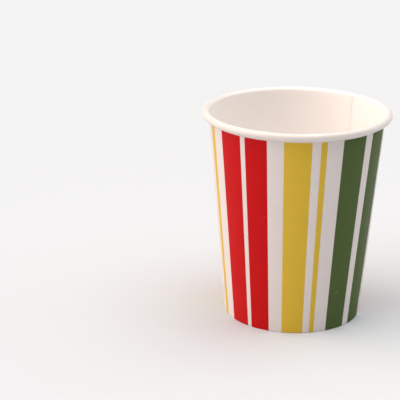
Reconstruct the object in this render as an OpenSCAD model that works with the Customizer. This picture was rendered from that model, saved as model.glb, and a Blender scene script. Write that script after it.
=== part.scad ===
// Paper cup for cold drinks, made from two blanks of cup board.
// The fan-shaped sidewall blank is printed with stripes, wrapped into a tapered wall and lapped
// along one side seam. Its upper edge is rolled outwards into the rim, and its lower edge is
// turned in and up as a hem. The base blank is a disc with its edge turned down as a skirt,
// which the hem grips to the wall.

/* [Cup] */
// Diameter over the rolled rim
rim_d = 78; // [68:0.5:92]
// Height from the table to the top of the rim
cup_h = 87.5; // [70:0.5:120]
// Outside diameter of the wall where it meets the table
foot_d = 57.5; // [48:0.5:64]

/* [Cup board] */
// Thickness of the board
board_t = 0.3; // [0.2:0.02:0.5]
// Glue line between two layers of board
glue_gap = 0.03; // [0.01:0.01:0.1]

/* [Rim] */
// Diameter of the rolled bead
bead_d = 3; // [2.4:0.1:4.5]
// Clearance between two turns of the roll
roll_gap = 0.05; // [0.02:0.01:0.15]
// Angle that the board is rolled through
roll_turn = 420; // [370:5:440]

/* [Side seam] */
// Overlap of the blank's two edges, measured at the rim
lap_w = 7; // [4:0.5:12]
// Length of wall along which the outer edge rides up onto the inner one
lap_rise = 7; // [4:0.5:16]
// Direction of the seam's outer edge, counter-clockwise from +X seen from above
seam_direction = 56; // [0:1:359]

/* [Foot] */
// Height of the recess under the base
recess_h = 7.5; // [5:0.5:12]
// Inside radius of the bend between the base and its skirt
base_bend = 0.5; // [0.2:0.05:1.2]
// Clearance between the hem's edge and the bend above it
hem_gap = 0.5; // [0.2:0.1:1.5]
// Clearance between the skirt's edge and the fold below it
skirt_gap = 0.3; // [0.2:0.05:0.8]
// Width of the flat ring that the foot stands on
foot_flat = 0.2; // [0.1:0.02:0.3]

/* [Print] */
// Bare board between the bead and the top of the print
print_margin = 1; // [0.5:0.5:10]

/* [Hidden] */
$fn = 96;

board_colour = "snow";
red = "crimson";
orange = "darkorange";
yellow = "goldenrod";
green = "olivedrab";

// Printed stripes, each from one direction to another, in degrees round from the seam's outer edge
stripes = [
    [yellow, 4, 17.5], [green, 26, 39], [green, 47.7, 50.7], [orange, 61.5, 79],
    [orange, 84, 100.5], [yellow, 109, 125.5], [yellow, 138.3, 143.8], [red, 154.2, 172.1],
    [red, 175.7, 191.7], [yellow, 202.7, 220.5], [yellow, 226.3, 230.4], [green, 241.7, 260.6],
    [green, 267.7, 287], [orange, 298, 312], [orange, 316, 323], [yellow, 327.5, 360]
];

bend_step = 15;
roll_step = 12;
// One overrun for every cut
cut_overrun = 1;

// The bead's section is a circle, and the wall's inner face is tangent to it
bead_r = bead_d / 2;
bead_centre = [rim_d / 2 - bead_r, cup_h - bead_r];
foot_to_bead = bead_centre - [foot_d / 2, 0];
taper = acos((bead_r - board_t) / norm(foot_to_bead)) - atan2(foot_to_bead.y, foot_to_bead.x);
wall_heading = 90 - taper;
down_heading = wall_heading - 180;

// Wall, skirt and hem are parallel layers, one layer pitch apart
layer_pitch = board_t + glue_gap;
fold_z = board_t / 2;
fold_r = (layer_r(fold_z, 0) - layer_r(fold_z, 2) - foot_flat)
    / (tan((90 + taper) / 2) + tan((90 - taper) / 2));
base_z = recess_h + board_t / 2;
base_bend_r = base_bend + board_t / 2;
hem_top = recess_h - base_bend * tan((90 + taper) / 2) - hem_gap;
skirt_end = board_t + skirt_gap;

// The seam's free edge swings outwards by one board about the line where its rise starts
lap_z = [fold_z + fold_r, cup_h - bead_d - roll_gap];
lap_r = layer_r(lap_z[1], 0);
rise_angle = lap_rise / lap_r * 180 / PI;
lap_angle = (lap_w + lap_rise) / lap_r * 180 / PI;
lap_swing = board_t / (lap_r * sin(lap_angle)) * 180 / PI;
lap_start = seam_direction - lap_angle;
relief_z = [recess_h + board_t + glue_gap, lap_z[1]];
board_face = board_t / 2 / cos(taper);
print_z = [lap_z[0], cup_h - bead_d - print_margin];

// Radius of the middle of a layer at height z: layer 0 is the wall, 1 the skirt and 2 the hem
function layer_r(z, layer) =
    foot_d / 2 - (board_t / 2 + layer * layer_pitch) / cos(taper) + z * tan(taper);

// A folded sheet is drawn along its middle line, as a list of [r, z, heading]
function along(heading) = [cos(heading), sin(heading)];
function left(heading) = [-sin(heading), cos(heading)];
function reversed(points) = [for (i = [len(points) - 1:-1:0]) points[i]];
function layer_point(z, layer, heading) = [layer_r(z, layer), z, heading];

// Round bend at the corner where two straight runs would meet
function bend(corner, from, to, radius) =
    let (
        side = sign(to - from),
        start = corner - radius * tan(abs(to - from) / 2) * along(from),
        centre = start + side * radius * left(from),
        steps = ceil(abs(to - from) / bend_step)
    )
    [for (i = [0:steps])
        let (heading = from + (to - from) * i / steps)
        concat(centre - side * radius * left(heading), heading)];

// Radius of the roll's middle line: round over the top and the outside, then tucked inwards
function roll_r(turned) =
    bead_r - board_t / 2 - (board_t + roll_gap) * pow(max(0, turned - 180) / 180, 2);

function roll() =
    let (steps = ceil(roll_turn / roll_step))
    [for (i = [0:steps])
        let (turned = roll_turn * i / steps, heading = wall_heading - turned)
        concat(bead_centre + roll_r(turned) * left(heading), heading)];

function sidewall_path() = concat(
    [layer_point(hem_top, 2, down_heading)],
    bend([layer_r(fold_z, 2), fold_z], down_heading, 0, fold_r),
    bend([layer_r(fold_z, 0), fold_z], 0, wall_heading, fold_r),
    roll()
);

function base_path() = concat(
    [[0, base_z, 0]],
    bend([layer_r(base_z, 1), base_z], 0, down_heading, base_bend_r),
    [layer_point(skirt_end, 1, down_heading)]
);

// One face of a sheet, at a distance to the left of its middle line
function sheet_face(path, distance) =
    [for (p = path) [p.x, p.y] + distance * left(p[2])];

// Section of a sheet of board that follows a path
module sheet(path) {
    polygon(concat(sheet_face(path, board_t / 2), reversed(sheet_face(path, -board_t / 2))));
}

// Section of the wall between two radii measured from its middle
module wall_band(inside, outside, z_range) {
    polygon([
        [layer_r(z_range[0], 0) + inside, z_range[0]],
        [layer_r(z_range[0], 0) + outside, z_range[0]],
        [layer_r(z_range[1], 0) + outside, z_range[1]],
        [layer_r(z_range[1], 0) + inside, z_range[1]]
    ]);
}

// Everything inside the middle of the wall
module wall_core() {
    z_range = [lap_z[0] - cut_overrun, lap_z[1] + cut_overrun];
    rotate_extrude()
        polygon([
            [0, z_range[0]],
            [layer_r(z_range[0], 0), z_range[0]],
            [layer_r(z_range[1], 0), z_range[1]],
            [0, z_range[1]]
        ]);
}

// Turns a section of the seam round the cup, swung outwards about the line where its rise starts.
// It begins a little before that line, inside the wall.
module seam_sector(angle) {
    rotate([0, 0, lap_start])
        translate([lap_r, 0, 0])
        rotate([0, 0, -lap_swing])
        translate([-lap_r, 0, 0])
        rotate([0, 0, -lap_swing])
        rotate_extrude(angle = angle + lap_swing)
        children();
}

// Outer edge of the wrapped blank, which rises off the wall and ends in a step one board high
module seam_lap() {
    difference() {
        seam_sector(lap_angle) wall_band(-2 * board_t, board_face, lap_z);
        wall_core();
    }
}

// Space inside the rising wall, which leaves the blank's inner edge as a step inside the cup
module seam_relief() {
    seam_sector(rise_angle) wall_band(-2 * board_t, -board_face, relief_z);
}

// Space that one stripe takes up in the wall's outer half
module print_field(stripe) {
    rotate([0, 0, seam_direction + stripe[1]])
        rotate_extrude(angle = stripe[2] - stripe[1])
        wall_band(0, board_t, print_z);
}

module plain_wall() {
    rotate_extrude() sheet(sidewall_path());
}

module sidewall() {
    difference() {
        union() {
            color(board_colour)
                difference() {
                    plain_wall();
                    for (stripe = stripes) print_field(stripe);
                }
            for (stripe = stripes)
                color(stripe[0])
                    intersection() {
                        plain_wall();
                        print_field(stripe);
                    }
            color(yellow) seam_lap();
        }
        seam_relief();
    }
}

module base() {
    color(board_colour)
        rotate_extrude() sheet(base_path());
}

sidewall();
base();
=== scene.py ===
import math
from collections import namedtuple

import bmesh
import bpy
from mathutils import Matrix, Vector


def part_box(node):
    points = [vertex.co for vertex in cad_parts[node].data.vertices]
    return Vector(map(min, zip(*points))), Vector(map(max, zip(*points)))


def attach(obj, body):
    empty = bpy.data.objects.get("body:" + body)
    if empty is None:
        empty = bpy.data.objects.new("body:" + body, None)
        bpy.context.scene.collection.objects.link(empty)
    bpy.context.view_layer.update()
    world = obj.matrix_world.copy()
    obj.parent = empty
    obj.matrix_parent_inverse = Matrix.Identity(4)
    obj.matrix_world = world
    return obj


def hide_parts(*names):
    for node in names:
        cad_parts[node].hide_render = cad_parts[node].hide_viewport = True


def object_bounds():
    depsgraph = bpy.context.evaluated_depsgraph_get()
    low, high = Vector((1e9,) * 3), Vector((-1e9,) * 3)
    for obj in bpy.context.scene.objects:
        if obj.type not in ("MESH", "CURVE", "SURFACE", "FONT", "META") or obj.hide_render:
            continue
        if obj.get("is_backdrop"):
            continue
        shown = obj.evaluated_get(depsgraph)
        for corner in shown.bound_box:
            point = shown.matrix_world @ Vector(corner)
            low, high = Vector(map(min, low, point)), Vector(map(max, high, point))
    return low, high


# A paper cup of two folded sheets of board, the printed sidewall and the base, on a pale floor
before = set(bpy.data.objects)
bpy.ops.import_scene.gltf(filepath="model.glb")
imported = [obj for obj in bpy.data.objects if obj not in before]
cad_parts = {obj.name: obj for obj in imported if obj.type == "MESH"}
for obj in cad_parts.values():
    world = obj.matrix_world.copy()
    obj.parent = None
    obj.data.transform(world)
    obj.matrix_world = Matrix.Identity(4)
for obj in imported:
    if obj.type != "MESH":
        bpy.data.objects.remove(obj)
cad_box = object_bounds()

# Sizes of the cup, in metres. The rim, the height and the base come from the frame.
MM = 0.001
side_low, side_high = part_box("sidewall")
base_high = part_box("base")[1]
RIM_R = (side_high.x - side_low.x) / 2
CUP_H = side_high.z
FOOT_R = 28.75 * MM
BOARD_T = 0.3 * MM
GLUE_GAP = 0.03 * MM
BEAD_R = 1.5 * MM
ROLL_GAP = 0.05 * MM
ROLL_TURN = 420
FOOT_FLAT = 0.2 * MM
BASE_BEND = 0.5 * MM
HEM_GAP = 0.5 * MM
SKIRT_GAP = 0.3 * MM
RECESS_H = base_high.z - BOARD_T

# Side seam: the blank's outer edge ends at SEAM_DIRECTION and rides over the inner edge, which is
# thinned at its very end and cut away at the foot. The lap's lift grows between the LAP_FOOT heights.
SEAM_DIRECTION = 56
LAP_W = 7 * MM
LAP_RISE = 7 * MM
LAP_FOOT = (1 * MM, 5 * MM)
THINNED_W = 1.5 * MM
THINNED_SHARE = 0.75

# Upright ribs that a knurled tool presses into the hem
RIBS = 72
RIB_DEPTH = 0.2 * MM

# Small unevenness of a real cup. Each wave of the bead has a number of dips round the rim and a share.
OVAL = 0.12 * MM
OVAL_DIRECTION = -20
BEAD_WAVE = 0.08 * MM
BEAD_WAVES = [(3, 0.6), (7, 0.4)]
BASE_LINE_DEPTH = 0.05 * MM
BASE_LINE_W = 0.7 * MM
BASE_LINE_REACH = 4 * BASE_LINE_W
BASE_SAG = 0.25 * MM

# Fineness of the meshes, in degrees and metres. A count of steps is rounded to STEP_DIGITS first.
COLUMN_STEP = 1.25
BASE_COLUMN_STEP = 2.5
BEND_STEP = 15
ROLL_STEP = 8
ROW_STEP = 3 * MM
FINE_ROW_STEP = 0.4 * MM
BASE_RING_STEP = 3 * MM
SHARP_ANGLE = 40
STEP_DIGITS = 6
TINY = 0.001 * MM

# Flat map of each sheet: its name, and the room for cut edges round it
FLAT_MAP = "OFBake"
EDGE_GAP = 1 * MM
EDGE_TURN = 1.5
EDGE_ROOM = 3

# Printed stripes: ink, then from and to, in degrees round from the seam's outer edge
PRINT_MARGIN = 1 * MM
STRIPES = [
    ("yellow", 4, 17.5),
    ("green", 26, 39),
    ("green", 47.7, 50.7),
    ("orange", 61.5, 79),
    ("orange", 84, 100.5),
    ("yellow", 109, 125.5),
    ("yellow", 138.3, 143.8),
    ("red", 154.2, 172.1),
    ("red", 175.7, 191.7),
    ("yellow", 202.7, 220.5),
    ("yellow", 226.3, 230.4),
    ("green", 241.7, 260.6),
    ("green", 267.7, 287),
    ("orange", 298, 312),
    ("orange", 316, 323),
    ("yellow", 327.5, 360),
]

# Part of the print leans, by PRINT_LEAN degrees at the foot. The lean grows and fades over these degrees.
PRINT_LEAN = 4.2
LEAN_GROWS = (185, 290)
LEAN_FADES = (300, 355)

# Linear colours
BOARD = (0.73, 0.665, 0.65)
BOARD_INSIDE = (0.95, 0.91, 0.88)
# Painted shade: a darker tint over the rolled rim, so that the bead looks less brightly lit
RIM_PAINTED_SHADE = (0.76, 0.70, 0.665)
BOARD_BASE = (0.84, 0.79, 0.755)
BOARD_EDGE = (0.80, 0.73, 0.68)
INKS = {
    "red": (0.515, 0.004, 0.006),
    "orange": (0.70, 0.125, 0.033),
    "yellow": (0.67, 0.45, 0.046),
    "green": (0.077, 0.115, 0.034),
}

# Surfaces: how rough, shiny and coated each is, and how strong the mottle and the grain are
Finish = namedtuple("Finish", "roughness shine coat mottle grain")
OUTSIDE = Finish(roughness=0.48, shine=0.25, coat=0.05, mottle=0.02, grain=0.18)
INSIDE = Finish(roughness=0.42, shine=0.35, coat=0.15, mottle=0.012, grain=0.14)
HEM = Finish(roughness=0.55, shine=0.25, coat=0, mottle=0.03, grain=0.5)
UNDERSIDE = Finish(roughness=0.7, shine=0.2, coat=0, mottle=0.03, grain=0.35)
CUT_EDGE = Finish(roughness=0.85, shine=0.2, coat=0, mottle=0.06, grain=0.6)
INKED = Finish(roughness=0.48, shine=0.09, coat=0, mottle=0.03, grain=0.18)
ROUGHNESS_SPREAD = 0.06
COAT_ROUGHNESS = 0.3

# Patterns in the board: scales and details of noise, then the relief and the pinholes in the ink
CLOUDS = 150
CLOUD_DETAIL = 5
FIBRES = 620
FIBRE_DETAIL = 6
FIBRE_CURL = 1.5
TOOTH = 2200
TOOTH_DETAIL = 2
MIDDLE_NOISE = (0.3, 0.7)
FIBRE_RELIEF = 1.5
RELIEF_DEPTH = 0.05 * MM
PINHOLE_CELLS = 130
PINHOLE_SHARE = 0.25
PINHOLE_R = (0.15 * MM, 0.27 * MM)
PINHOLE_STRENGTH = 0.5

# Floor, light and camera, with angles in degrees. The lights' directions are counter-clockwise from +X,
# seen from above. The sky's haze fades out where the upward part of a direction reaches HAZE_TOP.
FLOOR_SIZE = 40
FLOOR_COLOUR = (0.582, 0.612, 0.637)
FLOOR_ROUGHNESS = 0.9
FLOOR_CLOUDS = 8
FLOOR_DETAIL = 4
FLOOR_MOTTLE = 0.01
SKY_COLOUR = (1.0, 0.985, 0.98)
SKY_LOW = 0.05
SKY_HIGH = 2.8
SKY_POWER = 5
HAZE = 0.62
HAZE_TOP = 0.25
LIGHTS = {
    "key": dict(direction=-173, elevation=32, spread=75, strength=2.65, colour=(1.0, 0.83, 0.72)),
    "fill": dict(direction=14, elevation=52, spread=75, strength=1.05, colour=(1.0, 0.99, 0.98)),
}
CAMERA_PLACE = (-39.54 * MM, -569.15 * MM, 239.79 * MM)
CAMERA_PITCH = 18.64
CAMERA_ROLL = 0.32
LENS = 128.95
SENSOR = 36

# A point of a sheet's middle line: its place, the way that the sheet runs there and which part it is
PathPoint = namedtuple("PathPoint", "r z heading part")

# The two faces of a sheet, to the right and to the left of its middle line
OUTER, INNER = -1, 1


# Sections of the folded sheets

def along(heading):
    angle = math.radians(heading)
    return Vector((math.cos(angle), math.sin(angle)))


def left(heading):
    angle = math.radians(heading)
    return Vector((-math.sin(angle), math.cos(angle)))


def tan_deg(angle):
    return math.tan(math.radians(angle))


def arc_deg(length, radius):
    return math.degrees(length / radius)


def smooth_step(value, start, end):
    share = min(1, max(0, (value - start) / (end - start)))
    return share * share * (3 - 2 * share)


def evenly(start, end, step):
    """Values from start up to end, without end, no further apart than step."""
    count = max(1, math.ceil(round((end - start) / step, STEP_DIGITS)))
    return [start + (end - start) * i / count for i in range(count)]


bead_centre = Vector((RIM_R - BEAD_R, CUP_H - BEAD_R))
foot_to_bead = bead_centre - Vector((FOOT_R, 0))
TAPER = math.degrees(
    math.acos((BEAD_R - BOARD_T) / foot_to_bead.length) - math.atan2(foot_to_bead.y, foot_to_bead.x)
)
UP = 90 - TAPER
DOWN = UP - 180
LAYER_PITCH = BOARD_T + GLUE_GAP
PRINT_TOP = CUP_H - 2 * BEAD_R - PRINT_MARGIN
LAP_DEG = arc_deg(LAP_W, bead_centre.x)
LAP_START = 360 - LAP_DEG
RISE_START = LAP_START - arc_deg(LAP_RISE, bead_centre.x)
THINNED_DEG = arc_deg(THINNED_W, bead_centre.x)
BLANK_END = 360 - arc_deg(GLUE_GAP, FOOT_R)


def layer_r(z, layer):
    """Radius of the middle of a layer at height z: layer 0 is the wall, 1 the skirt and 2 the hem."""
    inset = (BOARD_T / 2 + layer * LAYER_PITCH) / math.cos(math.radians(TAPER))
    return FOOT_R - inset + z * tan_deg(TAPER)


def bend(corner, start_heading, end_heading, radius, part):
    """Round bend at the corner where two straight runs would meet."""
    turn = end_heading - start_heading
    side = math.copysign(1, turn)
    start = corner - radius * tan_deg(abs(turn) / 2) * along(start_heading)
    centre = start + side * radius * left(start_heading)
    points = []
    for turned in evenly(0, abs(turn), BEND_STEP) + [abs(turn)]:
        heading = start_heading + side * turned
        place = centre - side * radius * left(heading)
        points.append(PathPoint(place.x, place.y, heading, part))
    return points


def roll():
    """The rim's roll: round over the top and the outside, then tucked inwards."""
    points = []
    for turned in evenly(0, ROLL_TURN, ROLL_STEP) + [ROLL_TURN]:
        tuck = (BOARD_T + ROLL_GAP) * (max(0, turned - 180) / 180) ** 2
        place = bead_centre + (BEAD_R - BOARD_T / 2 - tuck) * left(UP - turned)
        points.append(PathPoint(place.x, place.y, UP - turned, "roll"))
    return points


def wall_rows(start, end):
    """Heights of the wall's rows: close together up to the base, and with one at the print's top."""
    lap_start, fine_end = LAP_FOOT[1], RECESS_H + BASE_LINE_REACH
    rows = evenly(start, lap_start, FINE_ROW_STEP) + evenly(lap_start, fine_end, FINE_ROW_STEP)
    rows += evenly(fine_end, PRINT_TOP, ROW_STEP) + evenly(PRINT_TOP, end, ROW_STEP)
    return rows[1:]


def sidewall_path():
    fold_z = BOARD_T / 2
    run = layer_r(fold_z, 0) - layer_r(fold_z, 2) - FOOT_FLAT
    fold_r = run / (tan_deg((90 + TAPER) / 2) + tan_deg((90 - TAPER) / 2))
    hem_top = RECESS_H - BASE_BEND * tan_deg((90 + TAPER) / 2) - HEM_GAP
    fold = bend(Vector((layer_r(fold_z, 2), fold_z)), DOWN, 0, fold_r, "hem")
    foot = bend(Vector((layer_r(fold_z, 0), fold_z)), 0, UP, fold_r, "foot")
    hem_drops = evenly(0, hem_top - fold[0].z, ROW_STEP)
    hem = [PathPoint(layer_r(hem_top - drop, 2), hem_top - drop, DOWN, "hem") for drop in hem_drops]
    rim = roll()
    wall = [PathPoint(layer_r(z, 0), z, UP, "wall") for z in wall_rows(foot[-1].z, rim[0].z)]
    return hem + fold + foot + wall + rim


def base_path():
    base_z = RECESS_H + BOARD_T / 2
    skirt_end = BOARD_T + SKIRT_GAP
    edge = bend(Vector((layer_r(base_z, 1), base_z)), 0, DOWN, BASE_BEND + BOARD_T / 2, "edge")
    disc = [PathPoint(r, base_z, 0, "disc") for r in evenly(0, edge[0].r, BASE_RING_STEP)]
    return disc + edge + [PathPoint(layer_r(skirt_end, 1), skirt_end, DOWN, "skirt")]


def path_lengths(path):
    """Distance of each point of a path from its start, along the path."""
    lengths = [0]
    for point, after in zip(path, path[1:]):
        lengths.append(lengths[-1] + math.hypot(after.r - point.r, after.z - point.z))
    return lengths


# Meshes of the sheets

def sheet_vertices(path, columns, place):
    """Corners of a sheet: its outer face column by column, then its inner face."""
    return [place(point, column, face) for face in (OUTER, INNER) for column in columns for point in path]


def sheet_faces(path, columns, closed, present, kind, flat):
    """Faces of a sheet, each with its corners, its kind and its corners' places on the flat map.

    Corners are numbered as sheet_vertices lists them.
    A patch gets a cut edge on each side where it has no neighbour.
    """
    count, rows = len(columns), len(path)
    lengths = path_lengths(path)
    column_range = range(count if closed else count - 1)
    cells = [(column, row) for column in column_range for row in range(rows - 1)]
    patches = [cell for cell in cells if present(*cell)]
    occupied = set(patches)

    # Way to the neighbour across each edge of a patch's ring
    sides = [(0, -1), (1, 0), (0, 1), (-1, 0)]

    def flat_place(corner, face, side=(0, 0), gap=0):
        direction = columns[corner[0]] + side[0] * gap * EDGE_TURN
        return flat(direction, lengths[corner[1]] + side[1] * gap * EDGE_GAP, face)

    for column, row in patches:
        after = (column + 1) % count
        ring = [(column, row), (after, row), (after, row + 1), (column, row + 1)]
        outer = [corner[0] * rows + corner[1] for corner in ring]
        inner = [number + count * rows for number in outer]
        yield outer, kind(column, row, OUTER), [flat_place(corner, OUTER) for corner in ring]
        yield inner[::-1], kind(column, row, INNER), [flat_place(corner, INNER) for corner in ring[::-1]]
        for start, side in enumerate(sides):
            if ((column + side[0]) % count, row + side[1]) not in occupied:
                end = (start + 1) % len(ring)
                places = [flat_place(ring[corner], OUTER, side, 1) for corner in (end, start)]
                places += [flat_place(ring[corner], OUTER, side, 2) for corner in (start, end)]
                yield [outer[end], outer[start], inner[start], inner[end]], "board_edge", places


def build_sheet(name, vertices, faces, materials):
    """Closed mesh of a sheet of board."""
    corners, kinds, places = zip(*faces)
    mesh = bpy.data.meshes.new(name)
    mesh.from_pydata(vertices, [], corners)
    for material in materials.values():
        mesh.materials.append(material)
    order = {kind: i for i, kind in enumerate(materials)}
    mesh.polygons.foreach_set("material_index", [order[kind] for kind in kinds])
    mesh.polygons.foreach_set("use_smooth", [True] * len(corners))
    flat_map = mesh.uv_layers.new(name=FLAT_MAP)
    flat_map.uv.foreach_set("vector", [value for ring in places for place in ring for value in place])

    # The columns of a disc meet at its centre
    whole = bmesh.new()
    whole.from_mesh(mesh)
    central = [vertex for vertex in whole.verts if math.hypot(vertex.co.x, vertex.co.y) < TINY]
    bmesh.ops.remove_doubles(whole, verts=central, dist=TINY)
    unused = [vertex for vertex in whole.verts if not vertex.link_faces]
    bmesh.ops.delete(whole, geom=unused, context="VERTS")
    whole.to_mesh(mesh)
    whole.free()
    mesh.set_sharp_from_angle(angle=math.radians(SHARP_ANGLE))
    piece = bpy.data.objects.new(name, mesh)
    bpy.context.scene.collection.objects.link(piece)
    return piece


def turned_place(place, angle):
    return (place.x * math.cos(angle), place.x * math.sin(angle), place.y)


# Sidewall

def blank_columns():
    """Directions of the blank's columns, from its inner edge round to its outer one, cut at each stripe."""
    cuts = {-LAP_DEG, THINNED_DEG - LAP_DEG, 0, RISE_START, LAP_START, BLANK_END}
    cuts.update(min(edge, BLANK_END) for stripe in STRIPES for edge in stripe[1:])
    cuts = sorted(cuts)
    columns = []
    for start, end in zip(cuts, cuts[1:]):
        columns += evenly(start, end, COLUMN_STEP)
    return columns + [BLANK_END]


def ink_at(direction):
    for ink, start, end in STRIPES:
        if start < direction < end:
            return ink
    return None


def leaned(direction, point):
    """Direction of a column of the blank at a point, with the lean of the print."""
    share = smooth_step(direction, *LEAN_GROWS) - smooth_step(direction, *LEAN_FADES)
    return direction - PRINT_LEAN * share * (1 - min(1, point.z / PRINT_TOP))


def lap_lift(direction, point):
    """How far the blank's outer end is lifted off its inner end."""
    if point.part in ("hem", "foot"):
        return 0
    lift = smooth_step(direction, RISE_START, LAP_START)
    return LAYER_PITCH * lift * smooth_step(point.z, *LAP_FOOT)


def uneven(point, angle):
    """Shift outwards and upwards: an oval mouth, a wavy bead and the line that the base presses."""
    out = OVAL * (point.z / CUP_H) ** 2 * math.cos(2 * (angle - math.radians(OVAL_DIRECTION)))
    up = 0
    if point.part == "roll":
        up = -BEAD_WAVE * sum(share * (1 + math.sin(dips * angle)) / 2 for dips, share in BEAD_WAVES)
    if point.part == "wall":
        out -= BASE_LINE_DEPTH * math.exp(-((point.z - RECESS_H - BOARD_T) / BASE_LINE_W) ** 2)
    return Vector((out, up))


def sidewall_vertex(point, direction, face):
    angle = math.radians(SEAM_DIRECTION + leaned(direction, point))
    offset = face * BOARD_T / 2
    if face == INNER:
        offset -= THINNED_SHARE * BOARD_T * (1 - smooth_step(direction + LAP_DEG, 0, THINNED_DEG))
    elif point.part == "hem" and point.heading == DOWN:
        offset += RIB_DEPTH * (1 + math.sin(RIBS * angle)) / 2
    place = Vector((point.r, point.z)) + uneven(point, angle)
    place += (offset - lap_lift(direction, point)) * left(point.heading)
    return turned_place(place, angle)


def make_sidewall(materials):
    path = sidewall_path()
    columns = blank_columns()
    inks = [ink_at((start + end) / 2) for start, end in zip(columns, columns[1:])]
    turn_room, length_room = EDGE_ROOM * EDGE_TURN, EDGE_ROOM * EDGE_GAP
    turn = BLANK_END + LAP_DEG + 2 * turn_room
    length = path_lengths(path)[-1] + 2 * length_room

    def present(column, row):
        at_foot = path[row].part in ("hem", "foot") or path[row].z < LAP_FOOT[1] - TINY
        return columns[column] >= 0 or not at_foot

    def kind(column, row, face):
        if face == INNER:
            return "board_inside"
        if path[row].part == "hem":
            return "board_hem"
        printed = path[row].part in ("foot", "wall") and path[row].z < PRINT_TOP - TINY
        return inks[column] if printed and inks[column] else "board"

    def flat(direction, distance, face):
        """The unrolled blank, with its outer face in the map's lower half and its inner face above."""
        across = (direction + LAP_DEG + turn_room) / turn
        upwards = (distance + length_room) / length
        return (across, (upwards + (face + 1) / 2) / 2)

    vertices = sheet_vertices(path, columns, sidewall_vertex)
    faces = sheet_faces(path, columns, False, present, kind, flat)
    return build_sheet("printed_sidewall", vertices, faces, materials)


# Base

def base_vertex(point, direction, face):
    sag = BASE_SAG * (1 - smooth_step(point.r, 0, layer_r(RECESS_H, 1))) if point.part == "disc" else 0
    place = Vector((point.r, point.z - sag)) + face * BOARD_T / 2 * left(point.heading)
    return turned_place(place, math.radians(direction))


def make_base(materials):
    path = base_path()
    columns = evenly(0, 360, BASE_COLUMN_STEP)
    flat_r = path_lengths(path)[-1] + EDGE_ROOM * EDGE_GAP

    def present(column, row):
        return True

    def kind(column, row, face):
        return "board_inside" if face == INNER else "board_base"

    def flat(direction, distance, face):
        """Two discs side by side, the outer face on the left and the inner face on the right."""
        place = distance / flat_r * along(direction)
        return ((2 + face + place.x) / 4, (1 + place.y) / 2)

    vertices = sheet_vertices(path, columns, base_vertex)
    faces = sheet_faces(path, columns, True, present, kind, flat)
    return build_sheet("base_board", vertices, faces, materials)


# Materials

def noise(tree, coords, scale, detail, distortion=0):
    node = tree.nodes.new("ShaderNodeTexNoise")
    node.inputs["Scale"].default_value = scale
    node.inputs["Detail"].default_value = detail
    node.inputs["Distortion"].default_value = distortion
    tree.links.new(coords, node.inputs["Vector"])
    return node.outputs["Fac"]


def map_range(tree, value, source, target):
    node = tree.nodes.new("ShaderNodeMapRange")
    for names, numbers in ((("From Min", "From Max"), source), (("To Min", "To Max"), target)):
        for name, number in zip(names, numbers):
            node.inputs[name].default_value = number
    tree.links.new(value, node.inputs["Value"])
    return node.outputs["Result"]


def compute(tree, operation, first, second=None):
    """Sum, product or the like of two values, each a number or the output of a node."""
    node = tree.nodes.new("ShaderNodeMath")
    node.operation = operation
    for socket, value in zip(node.inputs, (first, second)):
        if isinstance(value, bpy.types.NodeSocket):
            tree.links.new(value, socket)
        elif value is not None:
            socket.default_value = value
    return node.outputs["Value"]


def mix_colour(tree, factor, first, second):
    """Mix of two colours, each a colour or the output of a node."""
    node = tree.nodes.new("ShaderNodeMix")
    node.data_type = "RGBA"
    tree.links.new(factor, node.inputs["Factor"])
    sockets = [socket for socket in node.inputs if socket.type == "RGBA"]
    for socket, colour in zip(sockets, (first, second)):
        if isinstance(colour, bpy.types.NodeSocket):
            tree.links.new(colour, socket)
        else:
            socket.default_value = (*colour, 1)
    return next(socket for socket in node.outputs if socket.type == "RGBA")


def axes_of(tree, coords):
    node = tree.nodes.new("ShaderNodeSeparateXYZ")
    tree.links.new(coords, node.inputs["Vector"])
    return node.outputs


def shade(colour, factor):
    return tuple(channel * factor for channel in colour)


def mottled(tree, pattern, colour, mottle):
    return mix_colour(tree, pattern, shade(colour, 1 - mottle), shade(colour, 1 + mottle))


def pinholes(tree, coords):
    """Tiny spots where the ink missed the board, in some cells of a cell pattern."""
    cells = tree.nodes.new("ShaderNodeTexVoronoi")
    cells.inputs["Scale"].default_value = PINHOLE_CELLS
    tree.links.new(coords, cells.inputs["Vector"])
    channels = tree.nodes.new("ShaderNodeSeparateColor")
    tree.links.new(cells.outputs["Color"], channels.inputs["Color"])
    chosen = compute(tree, "LESS_THAN", channels.outputs["Red"], PINHOLE_SHARE)
    radii = [radius * PINHOLE_CELLS for radius in PINHOLE_R]
    spots = map_range(tree, cells.outputs["Distance"], radii, (PINHOLE_STRENGTH, 0))
    return compute(tree, "MULTIPLY", chosen, spots)


def rim_shade_share(tree, coords):
    """Share of the painted rim shade, which grows from the inner side of the rolled rim to its top."""
    axes = axes_of(tree, coords)
    squares = [compute(tree, "POWER", axes[axis], 2) for axis in "XY"]
    radii = (RIM_R - 2 * BEAD_R, RIM_R - BEAD_R)
    return map_range(tree, compute(tree, "ADD", *squares), [radius ** 2 for radius in radii], (0, 1))


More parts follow.
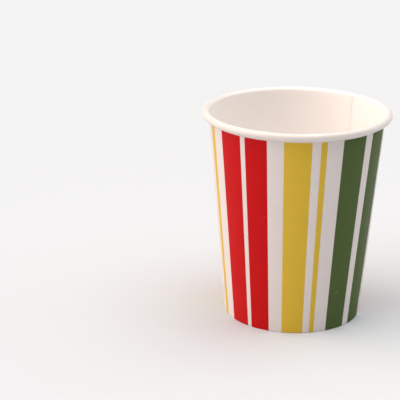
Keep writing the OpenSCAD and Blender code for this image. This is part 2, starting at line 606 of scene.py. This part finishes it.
def board_material(name, colour, finish, inked=False, rim_shade_colour=None):
    """Cup board: cloudy tint, matted fibres and a fine tooth, with a thin coat over them."""
    material = bpy.data.materials.new(name)
    material.use_nodes = True
    tree = material.node_tree
    shader = tree.nodes["Principled BSDF"]
    coords = tree.nodes.new("ShaderNodeTexCoord").outputs["Object"]
    clouds = noise(tree, coords, CLOUDS, CLOUD_DETAIL)
    fibres = noise(tree, coords, FIBRES, FIBRE_DETAIL, FIBRE_CURL)
    tooth = noise(tree, coords, TOOTH, TOOTH_DETAIL)

    mean = compute(tree, "MULTIPLY", compute(tree, "ADD", clouds, fibres), 0.5)
    tint = mottled(tree, map_range(tree, mean, MIDDLE_NOISE, (0, 1)), colour, finish.mottle)
    if inked:
        tint = mix_colour(tree, pinholes(tree, coords), tint, BOARD)
    # Painted shade: a darker tint mixed over the rolled rim, from its inner side to its top
    if rim_shade_colour:
        tint = mix_colour(tree, rim_shade_share(tree, coords), tint, rim_shade_colour)
    tree.links.new(tint, shader.inputs["Base Color"])
    roughness = (finish.roughness - ROUGHNESS_SPREAD, finish.roughness + ROUGHNESS_SPREAD)
    tree.links.new(map_range(tree, fibres, MIDDLE_NOISE, roughness), shader.inputs["Roughness"])

    height = compute(tree, "ADD", compute(tree, "MULTIPLY", fibres, FIBRE_RELIEF), tooth)
    relief = tree.nodes.new("ShaderNodeBump")
    relief.inputs["Strength"].default_value = finish.grain
    relief.inputs["Distance"].default_value = RELIEF_DEPTH
    tree.links.new(height, relief.inputs["Height"])
    tree.links.new(relief.outputs["Normal"], shader.inputs["Normal"])
    shader.inputs["Specular IOR Level"].default_value = finish.shine
    shader.inputs["Coat Weight"].default_value = finish.coat
    shader.inputs["Coat Roughness"].default_value = COAT_ROUGHNESS
    return material


# The inside's material also carries the painted shade on the rolled rim
board_inside = board_material("board_inside", BOARD_INSIDE, INSIDE, rim_shade_colour=RIM_PAINTED_SHADE)
board_edge = board_material("board_edge", BOARD_EDGE, CUT_EDGE)
sidewall_materials = {
    "board": board_material("board_outside", BOARD, OUTSIDE),
    "board_inside": board_inside,
    "board_hem": board_material("board_hem", BOARD, HEM),
    "board_edge": board_edge,
}
for ink, colour in INKS.items():
    sidewall_materials[ink] = board_material("ink_" + ink, colour, INKED, inked=True)
base_materials = {
    "board_inside": board_inside,
    "board_base": board_material("board_base", BOARD_BASE, UNDERSIDE),
    "board_edge": board_edge,
}


# Floor, light and camera

def make_floor():
    half = FLOOR_SIZE / 2
    mesh = bpy.data.meshes.new("floor")
    corners = [(-half, -half, 0), (half, -half, 0), (half, half, 0), (-half, half, 0)]
    mesh.from_pydata(corners, [], [(0, 1, 2, 3)])
    material = bpy.data.materials.new("floor_paper")
    material.use_nodes = True
    tree = material.node_tree
    shader = tree.nodes["Principled BSDF"]
    coords = tree.nodes.new("ShaderNodeTexCoord").outputs["Object"]
    clouds = noise(tree, coords, FLOOR_CLOUDS, FLOOR_DETAIL)
    tree.links.new(mottled(tree, clouds, FLOOR_COLOUR, FLOOR_MOTTLE), shader.inputs["Base Color"])
    shader.inputs["Roughness"].default_value = FLOOR_ROUGHNESS
    mesh.materials.append(material)
    floor = bpy.data.objects.new("floor", mesh)
    bpy.context.scene.collection.objects.link(floor)
    floor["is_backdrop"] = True


def make_sky():
    """Sky that is brightest overhead, as under a large soft light, with a pale haze at the horizon."""
    world = bpy.data.worlds.new("studio")
    world.use_nodes = True
    tree = world.node_tree
    axes = axes_of(tree, tree.nodes.new("ShaderNodeTexCoord").outputs["Generated"])
    height = compute(tree, "MAXIMUM", axes["Z"], 0)
    overhead = map_range(tree, compute(tree, "POWER", height, SKY_POWER), (0, 1), (SKY_LOW, SKY_HIGH))
    haze = map_range(tree, height, (0, HAZE_TOP), (HAZE, 0))
    sky = tree.nodes["Background"]
    sky.inputs["Color"].default_value = (*SKY_COLOUR, 1)
    tree.links.new(compute(tree, "ADD", overhead, haze), sky.inputs["Strength"])
    bpy.context.scene.world = world


def make_light(name, direction, elevation, spread, strength, colour):
    """Wide even light from one side."""
    data = bpy.data.lights.new(name, "SUN")
    data.angle = math.radians(spread)
    data.energy = strength
    data.color = colour
    light = bpy.data.objects.new(name, data)
    light.rotation_euler = (math.radians(90 - elevation), 0, math.radians(direction + 90))
    bpy.context.scene.collection.objects.link(light)


def make_camera():
    data = bpy.data.cameras.new("camera")
    data.lens = LENS
    data.sensor_width = SENSOR
    camera = bpy.data.objects.new("camera", data)
    pitch = Matrix.Rotation(math.radians(90 - CAMERA_PITCH), 4, "X")
    tilt = Matrix.Rotation(math.radians(CAMERA_ROLL), 4, "Z")
    camera.matrix_world = Matrix.Translation(CAMERA_PLACE) @ pitch @ tilt
    bpy.context.scene.collection.objects.link(camera)
    bpy.context.scene.camera = camera


sidewall = make_sidewall(sidewall_materials)
base = make_base(base_materials)
for piece, node, slot in ((sidewall, "sidewall", "printed_board"), (base, "base", "plain_board")):
    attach(piece, "root")
    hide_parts(node)

make_floor()
make_sky()
for name, settings in LIGHTS.items():
    make_light(name, **settings)
make_camera()
bpy.context.scene.view_settings.view_transform = "Standard"

boxes = {"cad": cad_box, "visual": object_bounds()}
{name: [list(corner) for corner in box] for name, box in boxes.items()}
